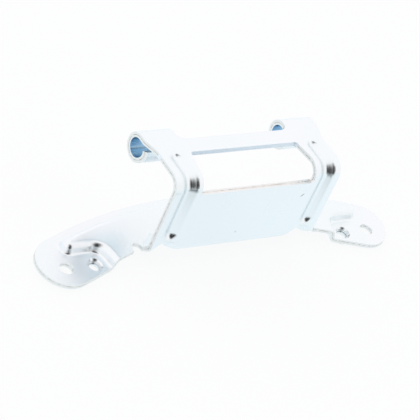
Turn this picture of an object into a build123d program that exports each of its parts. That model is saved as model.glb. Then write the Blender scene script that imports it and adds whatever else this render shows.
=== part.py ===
# Washing machine door hinge, one blank of steel sheet pierced, pressed and bent.
# Millimetres. X runs along the hinge, Y towards the convex edge, Z up.
# The origin lies on the seating face under the lobes, midway between the screw holes.
import os
from math import asin, atan2, cos, degrees, radians, sin, sqrt, tan

from build123d import *

# sheet
sheet = 2.5

# crescent base plate
crest_y = 33.8
crest_radius = 247.0
lobe_x = 86.2
lobe_radius = 13.6
near_edge_x = 53.5
near_edge_y = 1.0

# screw holes in the lobes
clear_hole_pitch = 174.0
clear_hole_radius = 3.4
tapped_hole_pitch = 144.0
tapped_hole_radius = 3.0
collar_wall = 1.2
collar_drop = 1.3
collar_mouth = 0.8

# raised middle of the base plate
raise_height = 4.7
wall_slope = 70.0
rim_width = 4.4
nose_radius = 4.0
bay_back_y = 7.2
bay_side_x = 67.0
bay_side_lean = 12.0
bay_corner_radius = 5.0
brow_radius = 3.0
foot_radius = 1.0

# neck that rises from the base plate and carries the knuckles
neck_width = 94.0
leg_foot_y = -2.8
leg_lean = 4.6
foot_bend_radius = 6.4
ridge_height = 50.1
ridge_bend_radius = 7.6
shelf_fall = 3.3
flare_start_y = 21.5
flare_end_y = 29.0
flare_bend_radius = 5.0

# relief notches beside the neck
relief_width = 5.4
relief_depth = 4.6

# window through the ridge
window_width = 64.6
window_top_width = 61.0
window_sill_z = 41.5
bar_near_y = 19.4
bar_far_y = 28.1
window_corner_radius = 1.5

# rolled knuckles for the hinge pin
knuckle_y = 32.0
knuckle_bore_radius = 4.6
knuckle_span = 99.2
knuckle_length = 18.2
knuckle_end_angle = 155.0
knuckle_root_radius = 4.5

# stiffening beads down the arms, and darts across the foot bend
bead_ball_radius = 3.4
bead_depth = 1.75
bead_down = 33.0
bead_along = 17.5
bead_mouth_radius = 1.2
bead_root_radius = 1.5
dart_half_width = 9.0
dart_depth = 5.4

# places worked out from the sizes above
arm_width = (neck_width - (window_width + window_top_width) / 2) / 2
arm_x = (neck_width - arm_width) / 2
knuckle_inner_x = knuckle_span / 2 - knuckle_length
crest_centre_y = crest_y - crest_radius
lobe_y = crest_centre_y + sqrt((crest_radius - lobe_radius) ** 2 - lobe_x**2)
underside_z = raise_height
relief_x = (neck_width + relief_width) / 2
tall = 5 * ridge_height

# corners of the neck's outer face, before its bends are rounded
leg_run = Vector(sin(radians(leg_lean)), cos(radians(leg_lean)))
shelf_run = Vector(cos(radians(shelf_fall)), -sin(radians(shelf_fall)))
foot_corner = Vector(leg_foot_y, underside_z)
ridge_corner = foot_corner + leg_run * ((ridge_height - underside_z) / leg_run.Y)
foot_tangent_y = leg_foot_y + foot_bend_radius / tan(radians(90 - leg_lean) / 2)

# the shelf runs straight into the knuckle's outer circle
knuckle_outer_radius = knuckle_bore_radius + sheet
knuckle_start_angle = 90 - shelf_fall
knuckle_sweep = knuckle_start_angle + 360 - knuckle_end_angle
knuckle_top_y = knuckle_y + knuckle_outer_radius * sin(radians(shelf_fall))
knuckle_top = ridge_corner + shelf_run * ((knuckle_top_y - ridge_corner.X) / shelf_run.X)
knuckle_z = knuckle_top.Y - knuckle_outer_radius * cos(radians(shelf_fall))

# crescent outline of the blank, with the near edge drawn straight across
near_edge = Vector(near_edge_x, near_edge_y)
to_lobe = Vector(lobe_x, lobe_y) - near_edge
near_edge_angle = degrees(atan2(to_lobe.Y, to_lobe.X)) - degrees(asin(lobe_radius / to_lobe.length))
near_edge_length = sqrt(to_lobe.length**2 - lobe_radius**2)
lobe_near = near_edge + Vector(near_edge_length, 0).rotate(Axis.Z, near_edge_angle)
crest_half_angle = degrees(asin(lobe_x / (crest_radius - lobe_radius)))
lobe_far = Vector(
    crest_radius * sin(radians(crest_half_angle)),
    crest_centre_y + crest_radius * cos(radians(crest_half_angle)),
)
lobe_tip = Vector(lobe_x + lobe_radius, lobe_y)

# upright normals of the neck's outer face, pointing away from the sheet
leg_normal = Vector(-leg_run.Y, leg_run.X)
shelf_normal = Vector(-shelf_run.Y, shelf_run.X)

# the wall of the raised middle leans by its slope, and bends at its foot and its brow
wall_run = raise_height / tan(radians(wall_slope))
bend_reach = tan(radians(wall_slope) / 2)
foot_reach = foot_radius * bend_reach
brow_reach = wall_run + brow_radius * bend_reach
wall_straight = raise_height / sin(radians(wall_slope)) - (foot_radius + brow_radius) * bend_reach
nose_y = bay_back_y + nose_radius
nose_x = sqrt((crest_radius - rim_width - nose_radius) ** 2 - (nose_y - crest_centre_y) ** 2)


def mirrored(point):
    """The same point on the other side of the hinge's middle."""
    return (-point.X, point.Y)


def raised_outline(inset):
    """Foot line of the raised middle, moved inwards, open towards the near edge."""
    nose_bottom = Vector(nose_x, bay_back_y + inset)
    nose_tip = Vector(nose_x + nose_radius - inset, nose_y)
    crest_top = Vector(0, crest_y - rim_width - inset)
    nose_angle = degrees(atan2(nose_y - crest_centre_y, nose_x))
    nose_top = Vector(nose_x, nose_y) + Vector(nose_radius - inset, 0).rotate(Axis.Z, nose_angle)
    lean = radians(bay_side_lean)
    corner = Vector(bay_side_x + inset * tan(lean) - inset / cos(lean), bay_back_y + inset)
    side_end = corner - Vector(sin(lean), cos(lean)) * lobe_x
    bay_radius = bay_corner_radius + inset
    with BuildLine() as line:
        FilletPolyline(side_end, corner, nose_bottom, radius=bay_radius)
        ThreePointArc(nose_bottom, nose_tip, nose_top)
        ThreePointArc(nose_top, crest_top, mirrored(nose_top))
        ThreePointArc(mirrored(nose_top), mirrored(nose_tip), mirrored(nose_bottom))
        FilletPolyline(mirrored(nose_bottom), mirrored(corner), mirrored(side_end), radius=bay_radius)
    return line.wire()


with BuildPart() as blank:
    with BuildSketch():
        with BuildLine():
            Line(mirrored(near_edge), near_edge)
            Line(near_edge, lobe_near)
            ThreePointArc(lobe_near, lobe_tip, lobe_far)
            ThreePointArc(lobe_far, (0, crest_y), mirrored(lobe_far))
            ThreePointArc(mirrored(lobe_far), mirrored(lobe_tip), mirrored(lobe_near))
            Line(mirrored(lobe_near), mirrored(near_edge))
        make_face()
        with Locations((0, near_edge_y)):
            Rectangle(neck_width, 2 * (foot_tangent_y - near_edge_y), mode=Mode.SUBTRACT)
        with Locations((relief_x, near_edge_y), (-relief_x, near_edge_y)):
            SlotOverall(2 * relief_depth, relief_width, rotation=90, mode=Mode.SUBTRACT)
    extrude(amount=tall, both=True)

# neighbouring pieces of the plate run into each other by a little
lap = (nose_radius - brow_reach) / 2
rim_line = raised_outline(-foot_reach - lap / 2)
foot_line = raised_outline(0)
brow_line = raised_outline(brow_reach + lap / 2)
platform_z = raise_height + sheet
collar_align = (Align.CENTER, Align.CENTER, Align.MIN)
outward = (foot_line % 0).cross(Vector(0, 0, 1))

# outer face of the neck, from under the raised middle up, over and round the knuckle
with BuildLine() as neck_line:
    FilletPolyline(
        (bay_back_y, underside_z), foot_corner, ridge_corner, knuckle_top,
        radius=[foot_bend_radius, ridge_bend_radius],
    )

# the ball that presses the beads runs outside the neck's outer face
ball_offset = bead_ball_radius - bead_depth
ridge_mitre = (leg_normal + shelf_normal) * (ball_offset / (1 + leg_normal.dot(shelf_normal)))
bead_corner = ridge_corner + ridge_mitre
with BuildLine() as bead_line:
    FilletPolyline(
        bead_corner - leg_run * bead_down, bead_corner, bead_corner + shelf_run * bead_along,
        radius=ridge_bend_radius + ball_offset,
    )
bead_path = bead_line.wire().moved(Plane.YZ.offset(arm_x).location)

# the balls' seams face away from the sheet
bead_ends = [
    Plane(bead_path @ end, x_dir=(bead_path % end).cross(Vector(-1, 0, 0)), z_dir=bead_path % end).location
    for end in (0, 1)
]


def bead(radius):
    """A round bar along one arm's bead, with ball ends."""
    with BuildPart() as bar:
        with BuildSketch(Plane(bead_path @ 0, z_dir=bead_path % 0)):
            Circle(radius)
        sweep(path=bead_path)
        with Locations(*bead_ends):
            Sphere(radius)
    return bar.part


def rims(radius):
    """Edges that a bead's bar has just made with the sheet, without the rings across it."""
    fresh = edges(Select.LAST) - edges().filter_by(Axis.X)
    return [edge for edge in fresh if edge.geom_type != GeomType.CIRCLE or abs(edge.radius - radius) > 0.01]


# the dart's valley crosses the foot bend at half its angle
foot_centre = Vector(foot_tangent_y, underside_z + foot_bend_radius)
dart_run = Vector(cos(radians(45)), sin(radians(45)))
valley = foot_centre - dart_run * (foot_bend_radius - dart_depth)
dart_taper = degrees(atan2(dart_depth, dart_half_width))


def dart(point, reach):
    """A wedge across one arm's foot bend, with its ridge through a point and its corner below."""
    near = Vector(point.X - reach, point.Y + reach)
    far = Vector(point.X + reach, point.Y - reach)
    with BuildPart() as wedge:
        with BuildSketch(Plane.YZ.offset(arm_x)):
            with BuildLine():
                Polyline(near, far, (near.X, far.Y), close=True)
            make_face()
        extrude(amount=dart_half_width, both=True, taper=dart_taper)
    return wedge.part


# inside of the neck, which keeps the swells of beads and darts off its outer face
with BuildPart() as inner_side:
    with BuildSketch(Plane.YZ):
        with BuildLine():
            add(neck_line.line)
            Polyline(neck_line.line @ 1, (knuckle_top.X, underside_z), neck_line.line @ 0)
        make_face()
        offset(amount=-sheet / 2, kind=Kind.INTERSECTION)
    extrude(amount=neck_width, both=True)

groove = bead(bead_ball_radius)
swell = bead(bead_ball_radius + sheet) & inner_side.part
rib = dart(valley + dart_run * sheet, 3 * dart_half_width) & inner_side.part
notch = dart(valley, 3 * dart_half_width)

# window from the sill up, narrowing over the shelf
window_kink_y = ridge_corner.X + ridge_bend_radius
with BuildPart() as window:
    with BuildSketch(Plane.XY.offset(window_sill_z)):
        with BuildLine():
            Polyline(
                (-window_width / 2, -lobe_x), (window_width / 2, -lobe_x), (window_width / 2, window_kink_y),
                (window_top_width / 2, bar_near_y), (-window_top_width / 2, bar_near_y),
                (-window_width / 2, window_kink_y), close=True,
            )
        make_face()
        fillet(vertices().group_by(Axis.Y)[-1], window_corner_radius)
    extrude(amount=ridge_height)
    fillet(edges().filter_by(Axis.Y).group_by(Axis.Z)[0], window_corner_radius)

# gap between the knuckles, with round roots at the bar and no roll under the bar
gap_floor = Plane.XY.offset(knuckle_z + knuckle_bore_radius)
with BuildPart() as knuckle_gap:
    with BuildSketch(gap_floor):
        with Locations((0, bar_far_y + knuckle_y)):
            RectangleRounded(2 * knuckle_inner_x, 2 * knuckle_y, knuckle_root_radius)
    extrude(amount=ridge_height)
    with BuildSketch(gap_floor):
        with Locations((0, 2 * knuckle_y - knuckle_outer_radius - sheet)):
            Rectangle(2 * knuckle_inner_x, 2 * knuckle_y)
    extrude(amount=-2 * knuckle_outer_radius)

# neck, one strip of sheet bent over its whole width
with BuildPart() as neck:
    with BuildSketch(Plane.YZ):
        with BuildLine():
            add(neck_line.line)
            offset(amount=sheet, side=Side.RIGHT)
        make_face()
        with BuildLine():
            CenterArc((knuckle_y, knuckle_z), knuckle_outer_radius, knuckle_start_angle, -knuckle_sweep)
            offset(amount=sheet, side=Side.RIGHT)
        make_face()
    extrude(amount=neck_width, both=True)
    # stiffening beads and darts, proud inside the neck and hollow outside
    for swollen in (swell, swell.mirror(Plane.YZ)):
        add(swollen)
        fillet(rims(bead_ball_radius + sheet), bead_root_radius)
    add(rib)
    add(rib.mirror(Plane.YZ))
    for hollow in (groove, groove.mirror(Plane.YZ)):
        add(hollow, mode=Mode.SUBTRACT)
        fillet(rims(bead_ball_radius), bead_mouth_radius)
    # sides, flared at the knuckles
    with BuildSketch():
        with BuildLine():
            flare = FilletPolyline(
                (neck_width / 2, -tall), (neck_width / 2, flare_start_y),
                (knuckle_span / 2, flare_end_y), (knuckle_span / 2, tall),
                radius=flare_bend_radius,
            )
            mirror(flare, Plane.YZ)
            Line(flare @ 0, mirrored(flare @ 0))
            Line(flare @ 1, mirrored(flare @ 1))
        make_face()
    extrude(amount=tall, both=True, mode=Mode.INTERSECT)

with BuildPart() as hinge_bracket:
    # lobes and rim, flat on the seat
    with BuildSketch():
        Rectangle(tall, tall)
        with BuildLine():
            add(rim_line)
            Line(rim_line @ 0, rim_line @ 1)
        make_face(mode=Mode.SUBTRACT)
    extrude(amount=sheet)
    # raised middle
    with BuildSketch(Plane.XY.offset(raise_height)):
        with BuildLine():
            add(brow_line)
            Line(brow_line @ 0, brow_line @ 1)
        make_face()
    extrude(amount=sheet)
    # leaning wall with its bends, along the foot line
    with BuildSketch(Plane(foot_line @ 0, x_dir=outward, z_dir=-(foot_line % 0))):
        with BuildLine():
            Line((foot_reach + lap, sheet), (foot_reach, sheet))
            foot_bend = JernArc((foot_reach, sheet), (-1, 0), foot_radius, -wall_slope)
            lean_line = Line(foot_bend @ 1, foot_bend @ 1 + foot_bend % 1 * wall_straight)
            JernArc(lean_line @ 1, lean_line % 1, brow_radius, wall_slope)
            Line((-brow_reach, platform_z), (-brow_reach - lap, platform_z))
            offset(amount=sheet, side=Side.LEFT)
        make_face()
    sweep(path=foot_line)
    # everything outside the blank is cut away
    add(blank.part, mode=Mode.INTERSECT)
    add(neck.part)
    # darts' hollows, cut through the neck's foot into the plate
    add(notch, mode=Mode.SUBTRACT)
    add(notch.mirror(Plane.YZ), mode=Mode.SUBTRACT)
    # window and the gap between the knuckles
    add(window.part, mode=Mode.SUBTRACT)
    add(knuckle_gap.part, mode=Mode.SUBTRACT)
    # screw holes, the tapped ones with a collar drawn below the seat
    with Locations((tapped_hole_pitch / 2, 0), (-tapped_hole_pitch / 2, 0)):
        with Locations((0, 0, -collar_drop)):
            Cylinder(tapped_hole_radius + collar_wall, collar_drop + sheet / 2, align=collar_align)
        with Locations((0, 0, sheet)):
            CounterSinkHole(tapped_hole_radius, tapped_hole_radius + collar_mouth, counter_sink_angle=90)
    with Locations((clear_hole_pitch / 2, 0), (-clear_hole_pitch / 2, 0)):
        Hole(clear_hole_radius)

hinge_bracket.part.label = "hinge_bracket"
os.makedirs("parts", exist_ok=True)
export_step(hinge_bracket.part, "parts/hinge_bracket.step")
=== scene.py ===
# Washing machine door hinge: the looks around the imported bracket.
from math import radians

import bmesh
import bpy
from mathutils import Matrix, Vector
from mathutils.bvhtree import BVHTree


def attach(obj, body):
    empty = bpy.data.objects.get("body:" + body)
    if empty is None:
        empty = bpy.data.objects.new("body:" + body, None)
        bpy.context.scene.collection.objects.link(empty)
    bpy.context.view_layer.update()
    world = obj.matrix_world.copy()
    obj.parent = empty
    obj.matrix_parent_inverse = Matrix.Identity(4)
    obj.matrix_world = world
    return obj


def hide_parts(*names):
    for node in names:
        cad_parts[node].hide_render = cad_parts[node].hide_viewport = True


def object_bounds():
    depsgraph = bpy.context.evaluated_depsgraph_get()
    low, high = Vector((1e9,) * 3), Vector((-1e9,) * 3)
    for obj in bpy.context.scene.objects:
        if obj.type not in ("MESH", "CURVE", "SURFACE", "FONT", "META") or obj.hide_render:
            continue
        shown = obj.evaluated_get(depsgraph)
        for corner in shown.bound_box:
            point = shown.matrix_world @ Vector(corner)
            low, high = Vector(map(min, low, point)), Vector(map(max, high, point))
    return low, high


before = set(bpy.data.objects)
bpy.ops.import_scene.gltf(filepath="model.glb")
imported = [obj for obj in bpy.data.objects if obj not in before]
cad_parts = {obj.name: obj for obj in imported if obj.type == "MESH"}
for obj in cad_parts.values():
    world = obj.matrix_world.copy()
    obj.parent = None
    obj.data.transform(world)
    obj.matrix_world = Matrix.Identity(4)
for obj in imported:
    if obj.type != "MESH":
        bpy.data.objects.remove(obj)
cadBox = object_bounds()
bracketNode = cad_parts["hinge_bracket"]
print("frame loaded:", sorted(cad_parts))

# camera at the photograph's viewing angle and roll
# places are in metres, the roll in degrees, the lens and the sensor in millimetres
cameraValues = {
    "place": (-0.56374, -0.46005, 0.58610),
    "aim": (-0.01177, 0.00897, 0.02000),
    "roll": 29.34,
    "lens": 173.57,
    "sensorWidth": 36,
    "farEnd": 10,
}


def makeCamera(values):
    data = bpy.data.cameras.new("photoCamera")
    data.lens = values["lens"]
    data.sensor_width = values["sensorWidth"]
    data.sensor_fit = "HORIZONTAL"
    data.clip_end = values["farEnd"]
    camera = bpy.data.objects.new("photoCamera", data)
    bpy.context.scene.collection.objects.link(camera)
    place = Vector(values["place"])
    turn = (Vector(values["aim"]) - place).to_track_quat("-Z", "Y").to_matrix()
    rolled = turn @ Matrix.Rotation(radians(values["roll"]), 3, "Z")
    camera.matrix_world = Matrix.Translation(place) @ rolled.to_4x4()
    bpy.context.scene.camera = camera


makeCamera(cameraValues)
print("camera made")


# short forms for nodes: an input takes a plain value or another node's output
def setInput(tree, slot, value):
    if isinstance(value, bpy.types.NodeSocket):
        tree.links.new(value, slot)
    else:
        slot.default_value = value


def addMath(tree, operation, first, second=0.0):
    node = tree.nodes.new("ShaderNodeMath")
    node.operation = operation
    setInput(tree, node.inputs[0], first)
    setInput(tree, node.inputs[1], second)
    return node.outputs[0]


def addVectorMath(tree, operation, first, second, result="Vector"):
    node = tree.nodes.new("ShaderNodeVectorMath")
    node.operation = operation
    setInput(tree, node.inputs[0], first)
    setInput(tree, node.inputs[1], second)
    return node.outputs[result]


def addRange(tree, value, low, high, toLow=0.0, toHigh=1.0, blend="SMOOTHSTEP"):
    ramp = tree.nodes.new("ShaderNodeMapRange")
    ramp.interpolation_type = blend
    ends = {"Value": value, "From Min": low, "From Max": high, "To Min": toLow, "To Max": toHigh}
    for label, number in ends.items():
        setInput(tree, ramp.inputs[label], number)
    return ramp.outputs["Result"]


def addNoise(tree, vector, scale, detail=1.0, roughness=0.4):
    noise = tree.nodes.new("ShaderNodeTexNoise")
    for label, value in (("Vector", vector), ("Scale", scale), ("Detail", detail), ("Roughness", roughness)):
        setInput(tree, noise.inputs[label], value)
    return noise.outputs["Fac"]


def addColorMix(tree, factor, first, second):
    # a mix node's colours are its inputs 6 and 7 and its output 2
    node = tree.nodes.new("ShaderNodeMix")
    node.data_type = "RGBA"
    for slot, value in ((0, factor), (6, first), (7, second)):
        setInput(tree, node.inputs[slot], value)
    return node.outputs[2]


def addShaderMix(tree, factor, first, second):
    node = tree.nodes.new("ShaderNodeMixShader")
    for slot, value in zip(node.inputs, (factor, first, second)):
        setInput(tree, slot, value)
    return node.outputs[0]


def addGlow(tree, kind, color, strength=1.0):
    node = tree.nodes.new(kind)
    setInput(tree, node.inputs["Color"], color)
    setInput(tree, node.inputs["Strength"], strength)
    return node.outputs[0]


def addParts(tree, vector):
    node = tree.nodes.new("ShaderNodeSeparateXYZ")
    tree.links.new(vector, node.inputs[0])
    return node.outputs


# studio: an even white tent with one tall soft dark shape in front, which the plating mirrors
studioValues = {
    "tentColor": (1.05, 1.02, 1.02, 1.0),
    "backgroundColor": (1.0, 1.0, 1.0, 1.0),
    # the dark shape's direction, its half width and height at a distance of 1,
    # the share of them that is fully dark, and how dark that is
    "darkToward": (-0.08, -0.88, 0.47),
    "darkWidth": 0.54,
    "darkHeight": 0.88,
    "darkCore": 0.38,
    "darkLevel": 0.0,
    # its foot on the floor in metres: dark up to the first place or width, gone at the second
    "footReach": (-0.15, -0.075),
    "footMiddle": -0.07,
    "footWidth": (0.05, 0.12),
    "floorColor": (0.965, 1.022, 1.045, 1.0),
    "floorSize": 6.0,
    "shadowShare": 0.12,
}


def makeWorld(values):
    world = bpy.data.worlds.new("studioTent")
    bpy.context.scene.world = world
    world.use_nodes = True
    tree = world.node_tree
    tree.nodes.clear()
    ray = tree.nodes.new("ShaderNodeTexCoord").outputs["Generated"]
    toward = Vector(values["darkToward"]).normalized()
    side = toward.cross(Vector((0, 0, 1))).normalized()
    up = side.cross(toward)
    # the squared distance from the middle of the shape, stretched so that it is an oval
    squares = []
    for axis, reach in ((side, values["darkWidth"]), (up, values["darkHeight"])):
        off = addVectorMath(tree, "DOT_PRODUCT", ray, axis / reach, "Value")
        squares.append(addMath(tree, "POWER", off, 2.0))
    away = addMath(tree, "ADD", *squares)
    oval = addRange(tree, away, values["darkCore"] ** 2, 1.0, values["darkLevel"])
    # only the side of the sky toward the shape may turn dark
    front = addVectorMath(tree, "DOT_PRODUCT", ray, toward, "Value")
    behind = addMath(tree, "LESS_THAN", front, 0.0)
    level = addMath(tree, "MAXIMUM", oval, behind)
    tent = addGlow(tree, "ShaderNodeBackground", values["tentColor"], level)
    background = addGlow(tree, "ShaderNodeBackground", values["backgroundColor"])
    lightPath = tree.nodes.new("ShaderNodeLightPath")
    sky = addShaderMix(tree, lightPath.outputs["Is Camera Ray"], tent, background)
    output = tree.nodes.new("ShaderNodeOutputWorld")
    tree.links.new(sky, output.inputs["Surface"])


def makeFloor(values):
    size = values["floorSize"]
    low = cadBox[0][2]
    mesh = bpy.data.meshes.new("studioFloor")
    corners = [(-size, -size, low), (size, -size, low), (size, size, low), (-size, size, low)]
    mesh.from_pydata(corners, [], [(0, 1, 2, 3)])
    floor = bpy.data.objects.new("studioFloor", mesh)
    bpy.context.scene.collection.objects.link(floor)
    material = bpy.data.materials.new("palePaperFloor")
    material.use_nodes = True
    tree = material.node_tree
    tree.nodes.clear()
    # the dark shape's foot is seen in the plating, never by the camera
    place = addParts(tree, tree.nodes.new("ShaderNodeTexCoord").outputs["Object"])
    aside = addMath(tree, "ABSOLUTE", addMath(tree, "SUBTRACT", place["X"], values["footMiddle"]))
    reach = addRange(tree, place["Y"], *values["footReach"], blend="LINEAR")
    width = addRange(tree, aside, *values["footWidth"], blend="LINEAR")
    lit = addMath(tree, "MAXIMUM", reach, width)
    paper = tree.nodes.new("ShaderNodeBsdfDiffuse")
    paper.inputs["Color"].default_value = values["floorColor"]
    surface = paper.outputs[0]
    lightPath = tree.nodes.new("ShaderNodeLightPath")
    for ray, color, strength in (
        ("Is Glossy Ray", values["floorColor"], lit),
        ("Is Camera Ray", values["backgroundColor"], 1.0),
    ):
        share = addMath(tree, "MULTIPLY", lightPath.outputs[ray], 1 - values["shadowShare"])
        surface = addShaderMix(tree, share, surface, addGlow(tree, "ShaderNodeEmission", color, strength))
    output = tree.nodes.new("ShaderNodeOutputMaterial")
    tree.links.new(surface, output.inputs["Surface"])
    mesh.materials.append(material)


makeWorld(studioValues)
makeFloor(studioValues)
bpy.context.scene.view_settings.view_transform = "Standard"
print("studio made")

# zinc plating: colours with painted shade and a painted reflection among them, roughness and wear,
# with sizes and places in metres
zincValues = {
    "paleBlue": (0.89, 0.94, 0.97, 1),
    "teal": (0.875, 0.945, 0.965, 1),
    "lilac": (0.91, 0.935, 0.97, 1),
    "shearGrey": (0.90, 0.90, 0.89, 1),
    "shearBrown": (0.46, 0.45, 0.43, 1),
    # painted shade inside the knuckles' bores
    "paintedBoreShade": (0.62, 0.79, 0.92, 1),
    # a painted reflection on the cross bar's cut wall
    "paintedBarReflection": (0.88, 0.94, 1.0, 1),
    # painted shade on the bead flanks
    "paintedFlankShade": (0.66, 0.74, 0.74, 1),
    "nickGrey": (0.42, 0.44, 0.44, 1),
    # nicks on the web: middle, half length, half width, lean in degrees
    "nicks": (
        ((0.0292, 0.0, 0.0343), 0.0015, 0.0004, 40.0),
        ((-0.0016, 0.0, 0.0157), 0.0005, 0.0003, 0.0),
        ((-0.0163, 0.0, 0.0128), 0.0005, 0.0003, 0.0),
    ),
    # the pin's y and z, and how far from it the knuckles' painted shade, a darker blue, goes
    "pinAxis": (0.0320, 0.0412),
    "boreShadeReach": (0.0048, 0.0066),
    # the cross bar's cut wall, which takes a painted reflection: from and to y, and above z
    "barWall": (0.0180, 0.0205, 0.0455),
    "streakShare": 0.2,
    # the plating is this rough, by up to the drift more in patches, and rougher where it was sheared
    "roughness": 0.24,
    "roughnessDrift": 0.05,
    "roughnessLevels": (0.3, 0.7),
    "shearRoughness": 0.42,
    "grainSize": 0.0004,
    "grainHeight": 0.000002,
    "driftSize": 0.045,
}

# how the effects spread: each pair holds the levels at which a mask is 0 and 1
effectValues = {
    # levels of noise for the two tints, and the warm patches' scale beside the cool ones'
    "coolLevels": (0.30, 0.75),
    "warmLevels": (0.38, 0.80),
    "warmScale": 0.63,
    # levels of depth through the sheet: off its two skins, and where the torn line starts and ends
    "innerSkin": (0.02, 0.10),
    "outerSkin": (0.98, 0.90),
    "lipStart": (0.48, 0.56),
    "lipEnd": (0.70, 0.60),
    # noise that shifts and breaks the torn line, and the grit's, with scales per metre
    "wobbleScale": 900.0,
    "wobbleShare": 0.22,
    "wobbleLevels": (0.35, 0.6),
    "gritScale": 2600.0,
    "gritLevels": (0.45, 0.7),
    # a nick's edge, in squares of its size, and how deep into the web it is seen, in metres
    "nickEdge": (1.0, 0.3),
    "webDepth": 0.0021,
}


def newGroup(name, inputs, outputs):
    tree = bpy.data.node_groups.new(name, "ShaderNodeTree")
    for label, kind, value in inputs:
        socket = tree.interface.new_socket(name=label, in_out="INPUT", socket_type="NodeSocket" + kind)
        if value is not None:
            socket.default_value = value
    for label, kind in outputs:
        tree.interface.new_socket(name=label, in_out="OUTPUT", socket_type="NodeSocket" + kind)
    return tree, tree.nodes.new("NodeGroupInput").outputs, tree.nodes.new("NodeGroupOutput").inputs


def makeTintDrift(values):
    # broad soft patches of two tints over the main colour
    tree, given, result = newGroup(
        "tintDrift",
        [("Vector", "Vector", None), ("Patch Size", "Float", 0.05), ("Main", "Color", (0.8, 0.8, 0.8, 1)),
         ("Cool", "Color", (0.8, 0.8, 0.8, 1)), ("Warm", "Color", (0.8, 0.8, 0.8, 1))],
        [("Color", "Color"), ("Mask", "Float")],
    )
    scale = addMath(tree, "DIVIDE", 1.0, given["Patch Size"])
    first = addNoise(tree, given["Vector"], scale)
    second = addNoise(tree, given["Vector"], addMath(tree, "MULTIPLY", scale, values["warmScale"]))
    cool = addRange(tree, first, *values["coolLevels"])
    warm = addRange(tree, second, *values["warmLevels"])
    tinted = addColorMix(tree, cool, given["Main"], given["Cool"])
    tree.links.new(addColorMix(tree, warm, tinted, given["Warm"]), result["Color"])
    tree.links.new(first, result["Mask"])
    return tree


def makeShearBand(values):
    # a cut wall's grey, its torn line and its grit: Depth is 0 at the inner skin and 1 at the outer one
    tree, given, result = newGroup(
        "shearBand",
        [("Depth", "Float", 0.0), ("Vector", "Vector", None)],
        [("Cut", "Float"), ("Tear", "Float"), ("Streak", "Float")],
    )
    depth = given["Depth"]
    pastInner = addRange(tree, depth, *values["innerSkin"])
    cut = addMath(tree, "MULTIPLY", pastInner, addRange(tree, depth, *values["outerSkin"]))
    tree.links.new(cut, result["Cut"])
    wobble = addNoise(tree, given["Vector"], values["wobbleScale"], 2.0)
    shifted = addMath(tree, "ADD", depth, addMath(tree, "MULTIPLY", wobble, values["wobbleShare"]))
    pastStart = addRange(tree, shifted, *values["lipStart"])
    lip = addMath(tree, "MULTIPLY", pastStart, addRange(tree, shifted, *values["lipEnd"]))
    broken = addRange(tree, wobble, *values["wobbleLevels"])
    tear = addMath(tree, "MULTIPLY", addMath(tree, "MULTIPLY", lip, cut), broken)
    tree.links.new(tear, result["Tear"])
    grit = addNoise(tree, given["Vector"], values["gritScale"], 2.0)
    streak = addMath(tree, "MULTIPLY", addRange(tree, grit, *values["gritLevels"]), cut)
    tree.links.new(streak, result["Streak"])
    return tree


def makeRolledGrain():
    tree, given, result = newGroup(
        "rolledGrain",
        [("Vector", "Vector", None), ("Grain Size", "Float", 0.0004)],
        [("Height", "Float")],
    )
    scale = addMath(tree, "DIVIDE", 1.0, given["Grain Size"])
    tree.links.new(addNoise(tree, given["Vector"], scale, 2.0), result["Height"])
    return tree


def makeNearAxis():
    # 1 close to a line along x through (Axis Y, Axis Z), 0 farther off
    tree, given, result = newGroup(
        "nearAxis",
        [("Vector", "Vector", None), ("Axis Y", "Float", 0.0), ("Axis Z", "Float", 0.0),
         ("Near", "Float", 0.005), ("Far", "Float", 0.007)],
        [("Mask", "Float")],
    )
    place = addParts(tree, given["Vector"])
    squares = []
    for label in ("Y", "Z"):
        off = addMath(tree, "SUBTRACT", place[label], given["Axis " + label])
        squares.append(addMath(tree, "MULTIPLY", off, off))
    away = addMath(tree, "SQRT", addMath(tree, "ADD", *squares))
    mask = addRange(tree, away, given["Near"], given["Far"], 1.0, 0.0, "LINEAR")
    tree.links.new(mask, result["Mask"])
    return tree


def makeBarWall():
    # 1 between two depths y and above a height z
    tree, given, result = newGroup(
        "barWall",
        [("Vector", "Vector", None), ("Near Y", "Float", 0.0), ("Far Y", "Float", 0.0),
         ("Above Z", "Float", 0.0)],
        [("Mask", "Float")],
    )
    place = addParts(tree, given["Vector"])
    past = addMath(tree, "GREATER_THAN", place["Y"], given["Near Y"])
    before = addMath(tree, "LESS_THAN", place["Y"], given["Far Y"])
    above = addMath(tree, "GREATER_THAN", place["Z"], given["Above Z"])
    between = addMath(tree, "MULTIPLY", past, before)
    tree.links.new(addMath(tree, "MULTIPLY", between, above), result["Mask"])
    return tree


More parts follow.
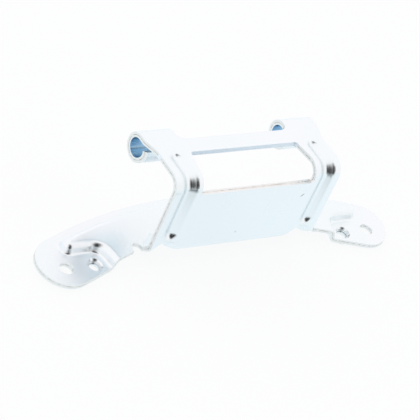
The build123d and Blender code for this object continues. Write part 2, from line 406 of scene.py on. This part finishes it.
def makeNickMark(values):
    # 1 on a short worn stroke that leans in the x and z plane
    tree, given, result = newGroup(
        "nickMark",
        [("Vector", "Vector", None), ("Middle", "Vector", (0, 0, 0)), ("Length", "Float", 0.001),
         ("Width", "Float", 0.0004), ("Lean", "Float", 0.0)],
        [("Mask", "Float")],
    )
    away = addParts(tree, addVectorMath(tree, "SUBTRACT", given["Vector"], given["Middle"]))
    lean = addMath(tree, "RADIANS", given["Lean"])
    cosine = addMath(tree, "COSINE", lean)
    sine = addMath(tree, "SINE", lean)
    x, z = away["X"], away["Z"]
    xAlong, xAcross = addMath(tree, "MULTIPLY", x, cosine), addMath(tree, "MULTIPLY", x, sine)
    zAlong, zAcross = addMath(tree, "MULTIPLY", z, sine), addMath(tree, "MULTIPLY", z, cosine)
    along = addMath(tree, "ADD", xAlong, zAlong)
    across = addMath(tree, "SUBTRACT", zAcross, xAcross)
    total = 0.0
    for value, reach in ((along, "Length"), (across, "Width")):
        share = addMath(tree, "DIVIDE", value, given[reach])
        total = addMath(tree, "ADD", addMath(tree, "MULTIPLY", share, share), total)
    # only the web's outer side, as its inner side lies deeper than this
    onWeb = addMath(tree, "LESS_THAN", addMath(tree, "ABSOLUTE", away["Y"]), values["webDepth"])
    stroke = addRange(tree, total, *values["nickEdge"])
    tree.links.new(addMath(tree, "MULTIPLY", stroke, onWeb), result["Mask"])
    return tree


shaderGroups = {
    "tintDrift": makeTintDrift(effectValues),
    "shearBand": makeShearBand(effectValues),
    "rolledGrain": makeRolledGrain(),
    "nearAxis": makeNearAxis(),
    "barWall": makeBarWall(),
    "nickMark": makeNickMark(effectValues),
}


def addGroup(tree, name, values):
    node = tree.nodes.new("ShaderNodeGroup")
    node.node_tree = shaderGroups[name]
    for label, value in values.items():
        setInput(tree, node.inputs[label], value)
    return node.outputs


def addAttribute(tree, name):
    node = tree.nodes.new("ShaderNodeAttribute")
    node.attribute_name = name
    return node.outputs["Fac"]


def addWear(tree, place, color, values):
    # the bracket's own marks over the plating, from its skins out to its cut walls,
    # with painted shade in the knuckles and on the bead flanks and a painted reflection on the bar's cut
    # wall
    depth = addAttribute(tree, "sheetDepth")
    shear = addGroup(tree, "shearBand", {"Vector": place, "Depth": depth})
    axis, reach, wall = values["pinAxis"], values["boreShadeReach"], values["barWall"]
    nearPin = addGroup(tree, "nearAxis", {
        "Vector": place, "Axis Y": axis[0], "Axis Z": axis[1], "Near": reach[0], "Far": reach[1],
    })
    # painted shade, a darker blue, inside the knuckles only, so on the inner half of the sheet
    inside = addMath(tree, "LESS_THAN", depth, 0.5)
    boreShade = addMath(tree, "MULTIPLY", nearPin["Mask"], inside)
    color = addColorMix(tree, boreShade, color, values["paintedBoreShade"])
    # painted shade, a darker grey teal, on the bead flanks
    color = addColorMix(tree, addAttribute(tree, "beadFlankShade"), color, values["paintedFlankShade"])
    for middle, length, width, lean in values["nicks"]:
        nick = addGroup(tree, "nickMark", {
            "Vector": place, "Middle": middle, "Length": length, "Width": width, "Lean": lean,
        })
        color = addColorMix(tree, nick["Mask"], color, values["nickGrey"])
    color = addColorMix(tree, shear["Cut"], color, values["shearGrey"])
    # a painted reflection, a paler blue, on the cross bar's cut wall, with no torn line on it
    bar = addGroup(tree, "barWall", {
        "Vector": place, "Near Y": wall[0], "Far Y": wall[1], "Above Z": wall[2],
    })
    barReflection = addMath(tree, "MULTIPLY", bar["Mask"], shear["Cut"])
    color = addColorMix(tree, barReflection, color, values["paintedBarReflection"])
    streak = addMath(tree, "MULTIPLY", shear["Streak"], values["streakShare"])
    torn = addMath(tree, "MAXIMUM", shear["Tear"], streak)
    torn = addMath(tree, "MULTIPLY", torn, addMath(tree, "SUBTRACT", 1.0, bar["Mask"]))
    return addColorMix(tree, torn, color, values["shearBrown"]), shear["Cut"]


def makeZinc(name, values, isCut):
    material = bpy.data.materials.new(name)
    material.use_nodes = True
    tree = material.node_tree
    shader = tree.nodes["Principled BSDF"]
    shader.inputs["Metallic"].default_value = 1.0
    place = tree.nodes.new("ShaderNodeTexCoord").outputs["Object"]
    tint = addGroup(tree, "tintDrift", {
        "Vector": place, "Patch Size": values["driftSize"], "Main": values["paleBlue"],
        "Cool": values["teal"], "Warm": values["lilac"],
    })
    color = tint["Color"]
    roughest = values["roughness"] + values["roughnessDrift"]
    rough = addRange(tree, tint["Mask"], *values["roughnessLevels"], values["roughness"], roughest)
    if isCut:
        color, cut = addWear(tree, place, color, values)
        sheared = addMath(tree, "MULTIPLY", cut, values["shearRoughness"])
        rough = addMath(tree, "MAXIMUM", rough, sheared)
    tree.links.new(color, shader.inputs["Base Color"])
    tree.links.new(rough, shader.inputs["Roughness"])
    grain = addGroup(tree, "rolledGrain", {"Vector": place, "Grain Size": values["grainSize"]})
    bump = tree.nodes.new("ShaderNodeBump")
    bump.inputs["Distance"].default_value = values["grainHeight"]
    tree.links.new(grain["Height"], bump.inputs["Height"])
    tree.links.new(bump.outputs["Normal"], shader.inputs["Normal"])
    return material


zincPlate = makeZinc("zincPlate", zincValues, True)
zincThread = makeZinc("zincThread", zincValues, False)
print("plating made")

# bracket: the imported solid, its skins and cut walls told apart, its beads leaned out, painted shade on
# their flanks
bracketValues = {
    # a skin ends where the surface turns by more than this many degrees
    "shearAngle": 58,
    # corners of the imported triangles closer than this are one, in metres as all below
    "weld": 0.000002,
    # each bead's middle in x, and the y that it stays in front of
    "beadMiddle": 0.0392,
    "beadBefore": 0.023,
    # its flanks lean out by this much, and the lean grows and ends between these distances off its middle
    "flankLean": 0.0011,
    "leanGrows": (0.0016, 0.0036),
    "leanEnds": (0.0039, 0.0064),
    # the flanks' painted shade, a darker grey set by which way they face: above this height, full at this x
    # of the normal, its share on the flank that looks right and on the one that looks left,
    # and the height over which the latter fades in
    "flankAbove": 0.013,
    "flankTilt": 0.6,
    "rightFlank": 0.75,
    "leftFlank": 0.5,
    "flankFade": 0.02,
}


def meanNormal(solid, polygon):
    corners = [solid.corner_normals[k].vector for k in polygon.loop_indices]
    return sum(corners, Vector((0, 0, 0))).normalized()


def isSharp(edge, facing, angle):
    if len(edge.link_faces) != 2:
        return True
    first, second = (facing[face.index] for face in edge.link_faces)
    return first.angle(second, 0.0) > angle


def labelSkins(bm, facing, angle):
    # a region's number for each face, and the numbers of the inner and the outer skin
    bm.faces.ensure_lookup_table()
    labels = [-1] * len(bm.faces)
    areas = []
    for start in bm.faces:
        if labels[start.index] >= 0:
            continue
        labels[start.index] = len(areas)
        area = 0.0
        stack = [start]
        while stack:
            face = stack.pop()
            area += face.calc_area()
            for edge in face.edges:
                if isSharp(edge, facing, angle):
                    continue
                for other in edge.link_faces:
                    if labels[other.index] < 0:
                        labels[other.index] = len(areas)
                        stack.append(other)
        areas.append(area)
    order = sorted(range(len(areas)), key=lambda k: -areas[k])
    print("sheet regions:", len(areas))
    # the two skins are the largest regions, and the inner one is a little smaller
    return labels, [order[1], order[0]]


def smoothStep(value, low, high):
    # the step and its slope
    share = min(max((value - low) / (high - low), 0.0), 1.0)
    return share * share * (3 - 2 * share), 6 * share * (1 - share) / (high - low)


def leanBead(place, values):
    # the place's new x, and the stretch along x there
    side = 1 if place.x > 0 else -1
    off = abs(place.x) - values["beadMiddle"]
    away = abs(off)
    if place.y > values["beadBefore"] or away > values["leanEnds"][1]:
        return place.x, 1.0
    out, outSlope = smoothStep(away, *values["leanGrows"])
    back, backSlope = smoothStep(away, *values["leanEnds"])
    moved = away + values["flankLean"] * (out - back)
    stretch = 1 + values["flankLean"] * (outSlope - backSlope)
    return side * (values["beadMiddle"] + (moved if off > 0 else -moved)), stretch


def flankShare(place, normal, values):
    # how much of the flanks' painted shade a corner takes, by which way its normal faces
    off = abs(abs(place.x) - values["beadMiddle"])
    if off > values["leanEnds"][0] + values["flankLean"] or place.y > values["beadBefore"]:
        return 0.0
    if place.z < values["flankAbove"]:
        return 0.0
    tilt = min(abs(normal.x) / values["flankTilt"], 1.0) ** 2
    if normal.x > 0:
        return tilt * values["rightFlank"]
    fade = min(max((place.z - values["flankAbove"]) / values["flankFade"], 0.0), 1.0)
    return tilt * max(0.0, -normal.y) * values["leftFlank"] * fade


def skinSurface(bm, labels, skin):
    points = [vert.co.copy() for vert in bm.verts]
    polygons = [[vert.index for vert in face.verts] for face in bm.faces if labels[face.index] == skin]
    return BVHTree.FromPolygons(points, polygons)


def makeBracket(values):
    solid = bracketNode.data
    bm = bmesh.new()
    bm.from_mesh(solid)
    origin = bm.faces.layers.int.new("origin")
    for face in bm.faces:
        face[origin] = face.index
    bmesh.ops.remove_doubles(bm, verts=bm.verts, dist=values["weld"])
    bm.verts.index_update()
    bm.faces.index_update()
    facing = [meanNormal(solid, solid.polygons[face[origin]]) for face in bm.faces]
    labels, skins = labelSkins(bm, facing, radians(values["shearAngle"]))
    surfaces = [skinSurface(bm, labels, skin) for skin in skins]

    normals = []
    depths = []
    flanks = []
    for face in bm.faces:
        polygon = solid.polygons[face[origin]]
        own = [(solid.vertices[solid.loops[k].vertex_index].co, solid.corner_normals[k].vector)
               for k in polygon.loop_indices]
        label = labels[face.index]
        for loop in face.loops:
            place = loop.vert.co
            # each corner keeps the solid's own smooth normal, turned with the bead's lean
            normal = min(own, key=lambda pair: (pair[0] - place).length)[1]
            stretch = leanBead(place, values)[1]
            normal = Vector((normal.x / stretch, normal.y, normal.z)).normalized()
            normals.append(normal)
            # painted shade on the outer skin's bead flanks, by which way each corner faces
            flanks.append(flankShare(place, normal, values) if label == skins[1] else 0.0)
            # 0 on the inner skin, 1 on the outer skin, and the share between on the cut walls
            if label in skins:
                depths.append(float(skins.index(label)))
            else:
                toInner, toOuter = (surface.find_nearest(place)[3] for surface in surfaces)
                depths.append(toInner / max(toInner + toOuter, values["weld"]))
    for vert in bm.verts:
        vert.co.x = leanBead(vert.co, values)[0]

    mesh = bpy.data.meshes.new("hingeBracket")
    bm.to_mesh(mesh)
    bm.free()
    mesh.attributes.remove(mesh.attributes["origin"])
    mesh.shade_smooth()
    mesh.normals_split_custom_set(normals)
    for name, shares in (("sheetDepth", depths), ("beadFlankShade", flanks)):
        mesh.attributes.new(name, "FLOAT", "CORNER").data.foreach_set("value", shares)
    mesh.materials.append(zincPlate)
    bracket = bpy.data.objects.new("hingeBracket", mesh)
    bpy.context.scene.collection.objects.link(bracket)
    return bracket


bracket = makeBracket(bracketValues)
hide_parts("hinge_bracket")
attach(bracket, "root")
print("bracket made:", len(bracket.data.polygons), "faces")

# threads in the two tapped holes, one coil each, sizes in metres
threadValues = {
    "span": 0.144,
    "radius": 0.00302,
    "pitch": 0.001,
    "low": -0.00075,
    "high": 0.00165,
    "toothDepth": 0.00054,
    "toothWidth": 0.00088,
    # half the tooth's tip, as a share of its width
    "tipShare": 0.06,
    "steps": 40,
    # the share of a coil over which its tooth grows at each end, and the share it starts from
    "runOut": 0.10,
    "startShare": 0.05,
}


def makeThreadGroup():
    tree = bpy.data.node_groups.new("threadCoil", "GeometryNodeTree")
    for label, kind in (
        ("Span", "Float"), ("Radius", "Float"), ("Low", "Float"), ("Height", "Float"), ("Turns", "Float"),
        ("Tooth Depth", "Float"), ("Tooth Width", "Float"), ("Tip Share", "Float"), ("Steps", "Int"),
        ("Run Out", "Float"), ("Start Share", "Float"), ("Material", "Material"),
    ):
        tree.interface.new_socket(name=label, in_out="INPUT", socket_type="NodeSocket" + kind)
    tree.interface.new_socket(name="Geometry", in_out="OUTPUT", socket_type="NodeSocketGeometry")
    new, link = tree.nodes.new, tree.links.new
    given = new("NodeGroupInput").outputs

    spiral = new("GeometryNodeCurveSpiral")
    for label, own in (("Steps", "Resolution"), ("Turns", "Rotations"), ("Radius", "Start Radius"),
                       ("Radius", "End Radius"), ("Height", "Height")):
        link(given[label], spiral.inputs[own])
    upright = new("GeometryNodeSetCurveNormal")
    upright.mode = "Z_UP"
    link(spiral.outputs[0], upright.inputs["Curve"])
    # the tooth grows at both ends, as a tap leaves it
    along = new("GeometryNodeSplineParameter").outputs["Factor"]
    rest = addMath(tree, "SUBTRACT", 1.0, along)
    starts, ends = (
        addRange(tree, share, 0.0, given["Run Out"], given["Start Share"], blend="LINEAR")
        for share in (along, rest)
    )
    grown = new("GeometryNodeSetCurveRadius")
    link(upright.outputs[0], grown.inputs["Curve"])
    link(addMath(tree, "MINIMUM", starts, ends), grown.inputs["Radius"])

    # a tooth one unit deep and wide, scaled to size
    outline = new("GeometryNodeCurvePrimitiveQuadrilateral")
    outline.mode = "POINTS"
    lower = addMath(tree, "MULTIPLY", given["Tip Share"], -1.0)
    corners = ((0.0, 0.5), (0.0, -0.5), (1.0, lower), (1.0, given["Tip Share"]))
    for number, (deep, wide) in enumerate(corners, 1):
        corner = new("ShaderNodeCombineXYZ")
        setInput(tree, corner.inputs[0], deep)
        setInput(tree, corner.inputs[1], wide)
        link(corner.outputs[0], outline.inputs["Point " + str(number)])
    scale = new("ShaderNodeCombineXYZ")
    link(given["Tooth Depth"], scale.inputs[0])
    link(given["Tooth Width"], scale.inputs[1])
    tooth = new("GeometryNodeTransform")
    link(outline.outputs[0], tooth.inputs["Geometry"])
    link(scale.outputs[0], tooth.inputs["Scale"])
    coil = new("GeometryNodeCurveToMesh")
    coil.inputs["Fill Caps"].default_value = True
    link(grown.outputs[0], coil.inputs["Curve"])
    link(tooth.outputs[0], coil.inputs["Profile Curve"])
    link(new("GeometryNodeInputRadius").outputs[0], coil.inputs["Scale"])

    # one coil at each end of the line between the holes
    holes = new("GeometryNodeMeshLine")
    holes.inputs["Count"].default_value = 2
    first = new("ShaderNodeCombineXYZ")
    link(addMath(tree, "MULTIPLY", given["Span"], -0.5), first.inputs[0])
    link(given["Low"], first.inputs[2])
    step = new("ShaderNodeCombineXYZ")
    link(given["Span"], step.inputs[0])
    link(first.outputs[0], holes.inputs["Start Location"])
    link(step.outputs[0], holes.inputs["Offset"])
    copies = new("GeometryNodeInstanceOnPoints")
    link(holes.outputs[0], copies.inputs["Points"])
    link(coil.outputs[0], copies.inputs["Instance"])
    real = new("GeometryNodeRealizeInstances")
    link(copies.outputs[0], real.inputs[0])
    coated = new("GeometryNodeSetMaterial")
    link(real.outputs[0], coated.inputs["Geometry"])
    link(given["Material"], coated.inputs["Material"])
    link(coated.outputs[0], new("NodeGroupOutput").inputs["Geometry"])
    return tree


def makeThreads(values):
    tree = makeThreadGroup()
    maker = bpy.data.objects.new("threadMaker", bpy.data.meshes.new("threadMaker"))
    bpy.context.scene.collection.objects.link(maker)
    modifier = maker.modifiers.new("threadCoil", "NODES")
    modifier.node_group = tree
    height = values["high"] - values["low"]
    given = {
        "Span": values["span"], "Radius": values["radius"], "Low": values["low"], "Height": height,
        "Turns": height / values["pitch"], "Tooth Depth": values["toothDepth"],
        "Tooth Width": values["toothWidth"], "Tip Share": values["tipShare"], "Steps": values["steps"],
        "Run Out": values["runOut"], "Start Share": values["startShare"], "Material": zincThread,
    }
    for item in tree.interface.items_tree:
        if item.item_type == "SOCKET" and item.in_out == "INPUT":
            modifier[item.identifier] = given[item.name]
    graph = bpy.context.evaluated_depsgraph_get()
    mesh = bpy.data.meshes.new_from_object(maker.evaluated_get(graph), depsgraph=graph)
    mesh.name = "holeThreads"
    # the maker goes with its modifier, and only the plain mesh stays
    bpy.data.objects.remove(maker)
    bm = bmesh.new()
    bm.from_mesh(mesh)
    bmesh.ops.recalc_face_normals(bm, faces=bm.faces)
    bm.to_mesh(mesh)
    bm.free()
    threads = bpy.data.objects.new("holeThreads", mesh)
    bpy.context.scene.collection.objects.link(threads)
    return threads


threads = makeThreads(threadValues)
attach(threads, "root")
print("threads made:", len(threads.data.polygons), "faces")
